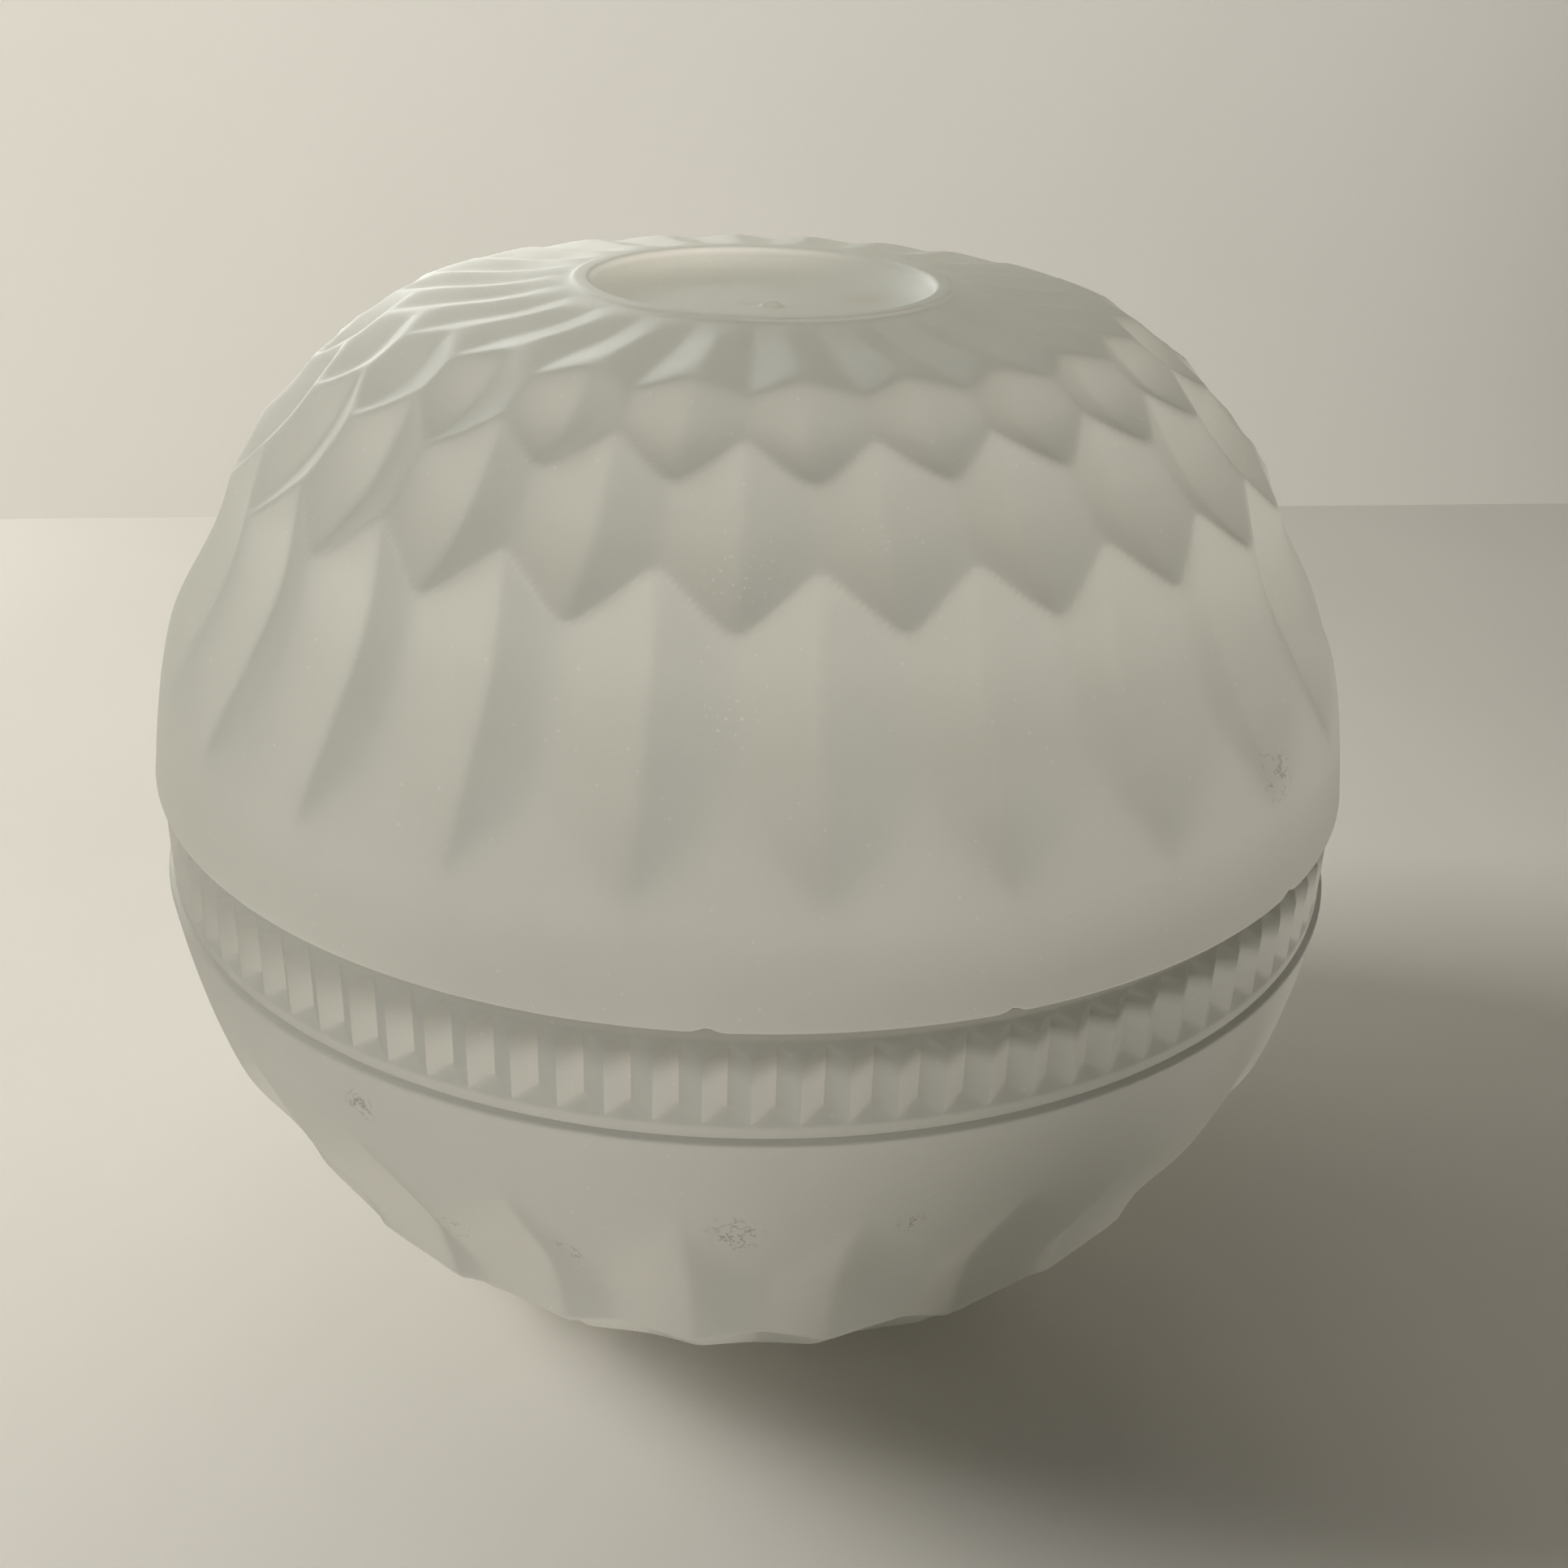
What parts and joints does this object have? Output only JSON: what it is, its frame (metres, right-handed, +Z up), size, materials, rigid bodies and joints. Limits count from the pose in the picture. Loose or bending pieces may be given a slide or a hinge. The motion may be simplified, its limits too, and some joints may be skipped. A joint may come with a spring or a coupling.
{
  "type": "floating pool light",
  "caption": "Frosted floating globe light in two faceted shells that screw together over a seal, with a ribbed grip band, an LED deck, a battery pod and a ballast ring.",
  "frame": {"origin": "middle of the foot ring, at the height of the flat it stands on", "axes": "+Z up through the dome, -Y towards the viewer"},
  "size_m": [0.11, 0.11, 0.0923],
  "materials": {
    "frosted_shell": "frosted translucent moulding, slightly green grey, scuffed",
    "seal_rubber": "soft pale silicone",
    "white_plastic": "white moulded plastic",
    "board": "green circuit board with pale pads",
    "led_lens": "water clear epoxy",
    "black_plastic": "black moulded plastic",
    "cell_jacket": "plain sleeved metal can",
    "steel": "plated steel",
    "red_lead": "red wire insulation",
    "black_lead": "black wire insulation"
  },
  "bodies": {
    "bowl": {"bowl_shell": "frosted_shell", "lamp_deck": "white_plastic", "reflector_dish": "white_plastic", "led_board": "board", "led_1": "led_lens", "led_2": "led_lens", "led_3": "led_lens", "led_4": "led_lens", "led_5": "led_lens", "led_6": "led_lens", "driver_chip": "black_plastic", "storage_capacitor": "cell_jacket", "switch_body": "black_plastic", "battery_pod": "white_plastic", "battery_cell_1": "cell_jacket", "battery_cell_2": "cell_jacket", "battery_cell_3": "cell_jacket", "contact_spring_1": "steel", "contact_spring_2": "steel", "contact_spring_3": "steel", "bottom_contact": "steel", "ballast_ring": "steel", "deck_screw_1": "steel", "deck_screw_2": "steel", "deck_screw_3": "steel", "board_screw_1": "steel", "board_screw_2": "steel", "board_screw_3": "steel", "terminal_red": "steel", "terminal_black": "steel", "lead_red": "red_lead", "lead_black": "black_lead"},
    "shell_seal": {"shell_seal": "seal_rubber"},
    "dome": {"dome_shell": "frosted_shell"},
    "cap_seal": {"cap_seal": "seal_rubber"},
    "battery_cap": {"battery_cap": "white_plastic", "cap_contact": "steel"},
    "switch_slider": {"switch_slider": "white_plastic"}
  },
  "joints": [
    {"name": "dome_rise", "type": "slide", "parent": "bowl", "child": "shell_seal", "axis": [0, 0, 1], "range_m": [0, 0.0101]},
    {"name": "dome_turn", "type": "hinge", "parent": "shell_seal", "child": "dome", "pos_m": [0, 0, 0.0508], "axis": [0, 0, 1], "range_deg": [0, 300]},
    {"name": "cap_rise", "type": "slide", "parent": "bowl", "child": "cap_seal", "axis": [0, 0, 1], "range_m": [0, 0.00505]},
    {"name": "cap_turn", "type": "hinge", "parent": "cap_seal", "child": "battery_cap", "pos_m": [0, 0, 0.0572], "axis": [0, 0, 1], "range_deg": [0, 300]},
    {"name": "switch_slide", "type": "slide", "parent": "bowl", "child": "switch_slider", "axis": [1, 0, 0], "range_m": [0, 0.0024]}
  ],
  "couplings": [
    {"joint": "dome_rise", "follows": "dome_turn", "m_per_rad": 0.0019099},
    {"joint": "cap_rise", "follows": "cap_turn", "m_per_rad": 0.00095493}
  ]
}
